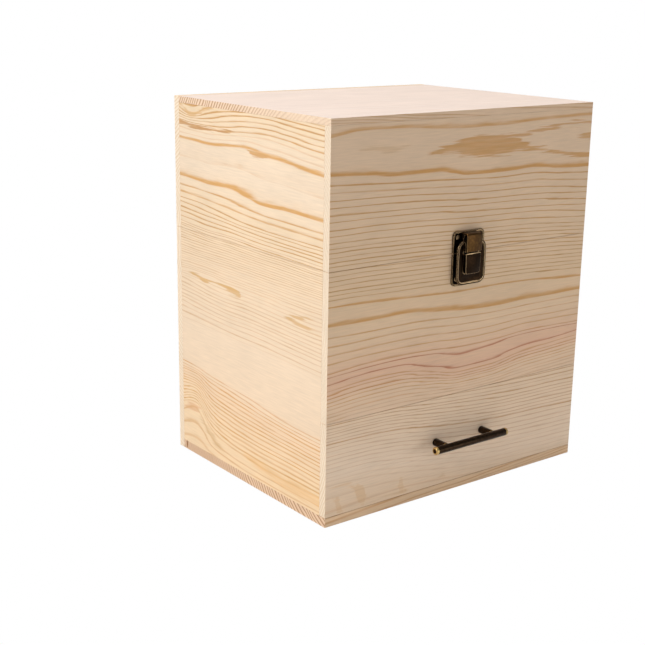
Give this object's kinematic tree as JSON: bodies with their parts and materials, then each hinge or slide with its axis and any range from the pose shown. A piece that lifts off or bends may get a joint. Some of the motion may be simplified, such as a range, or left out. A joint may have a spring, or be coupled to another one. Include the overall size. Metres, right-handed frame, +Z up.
{
  "type": "essential oil storage box",
  "caption": "Pine box for small bottles: a tall hinged lid over a lift-out divided tray, an open well below it, a divided drawer with a bar pull, and a toggle latch.",
  "frame": {"origin": "on the ground, in the middle of the case under the base", "axes": "+Z up, +X across the width to the right when the front is looked at, -Y out of the front with the latch and the drawer pull"},
  "size_m": [0.344, 0.2987, 0.39],
  "materials": {
    "pine": "sanded, unvarnished pine",
    "ply": "thin unvarnished plywood",
    "bronze": "antique bronze, darkened brass plate rubbed bright on its edges",
    "brass": "aged brass, satin"
  },
  "bodies": {
    "base": {"base_bottom": "pine", "base_back": "pine", "base_front": "pine", "base_left": "pine", "base_right": "pine", "base_shelf": "ply", "tray_ledger_left": "pine", "tray_ledger_right": "pine", "latch_base_plate": "bronze", "latch_lever_pin": "brass", "hinge_left_base_leaf": "bronze", "hinge_left_pin": "brass", "hinge_right_base_leaf": "bronze", "hinge_right_pin": "brass"},
    "lid": {"lid_top": "pine", "lid_front": "pine", "lid_back": "pine", "lid_left": "pine", "lid_right": "pine", "latch_catch_plate": "bronze", "hinge_left_lid_leaf": "bronze", "hinge_right_lid_leaf": "bronze"},
    "drawer": {"drawer_front": "pine", "drawer_left": "pine", "drawer_right": "pine", "drawer_back": "pine", "drawer_floor": "ply", "drawer_long_divider_1": "ply", "drawer_long_divider_2": "ply", "drawer_long_divider_3": "ply", "drawer_long_divider_4": "ply", "drawer_long_divider_5": "ply", "drawer_cross_divider_1": "ply", "drawer_cross_divider_2": "ply", "drawer_cross_divider_3": "ply", "drawer_cross_divider_4": "ply", "drawer_cross_divider_5": "ply", "drawer_cross_divider_6": "ply", "drawer_cross_divider_7": "ply", "pull_bar": "bronze", "pull_post_left": "bronze", "pull_post_right": "bronze"},
    "tray": {"tray_left": "pine", "tray_right": "pine", "tray_front": "pine", "tray_back": "pine", "tray_floor": "ply", "tray_long_divider_1": "ply", "tray_long_divider_2": "ply", "tray_long_divider_3": "ply", "tray_long_divider_4": "ply", "tray_cross_divider_1": "ply", "tray_cross_divider_2": "ply", "tray_cross_divider_3": "ply", "tray_cross_divider_4": "ply", "tray_cross_divider_5": "ply"},
    "latch_lever": {"latch_lever": "bronze", "latch_tongue_pin": "brass"},
    "latch_tongue": {"latch_tongue": "bronze"}
  },
  "joints": [
    {"name": "lid_hinge", "type": "hinge", "parent": "base", "child": "lid", "pos_m": [0, 0.138, 0.25145], "axis": [-1, 0, 0], "range_deg": [0, 180]},
    {"name": "drawer_slide", "type": "slide", "parent": "base", "child": "drawer", "axis": [0, -1, 0], "range_m": [0, 0.2]},
    {"name": "tray_lift", "type": "slide", "parent": "base", "child": "tray", "axis": [0, 0, 1], "range_m": [0, 0.12]},
    {"name": "latch_lever_hinge", "type": "hinge", "parent": "base", "child": "latch_lever", "pos_m": [0, -0.141, 0.26025], "axis": [-1, 0, 0], "range_deg": [0, 100]},
    {"name": "latch_tongue_hinge", "type": "hinge", "parent": "latch_lever", "child": "latch_tongue", "pos_m": [0, -0.142, 0.25465], "axis": [-1, 0, 0], "range_deg": [-80, 0]}
  ],
  "couplings": [
    {"joint": "latch_tongue_hinge", "follows": "latch_lever_hinge", "ratio": -0.8}
  ]
}
